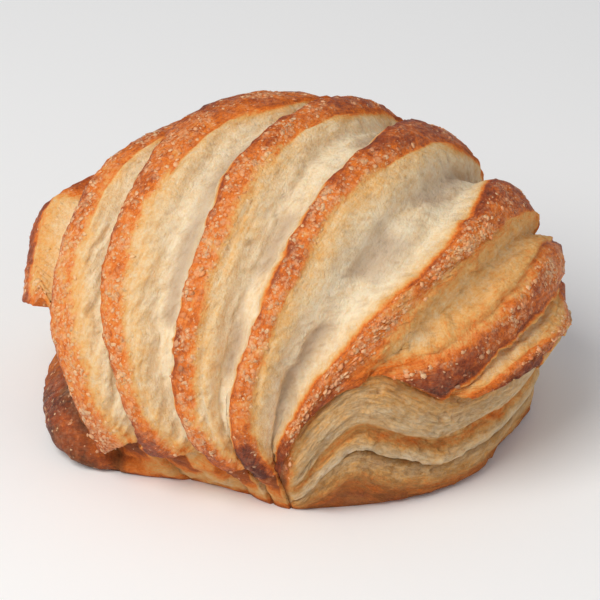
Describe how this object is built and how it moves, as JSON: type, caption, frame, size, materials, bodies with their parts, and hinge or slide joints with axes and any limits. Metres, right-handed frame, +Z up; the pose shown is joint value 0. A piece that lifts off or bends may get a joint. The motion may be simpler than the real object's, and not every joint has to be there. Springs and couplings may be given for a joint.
{
  "type": "ridged puff pastry shell",
  "caption": "Domed oblong puff pastry with raised browned ribs running over the top, pale flaky valleys between them, a layered side wall and a flat base.",
  "frame": {"origin": "on the ground under the middle of the pastry's bounding box", "axes": "+X along the long side to the right as seen in the picture, +Y from the front to the back, +Z up from the flat base"},
  "size_m": [0.102, 0.0814, 0.0625],
  "materials": {
    "baked_crust": "dry baked pastry, browned on the ribs and pale between them, with coarse sugar on the ribs"
  },
  "bodies": {
    "root": {"pastry_shell": "baked_crust"}
  },
  "joints": []
}
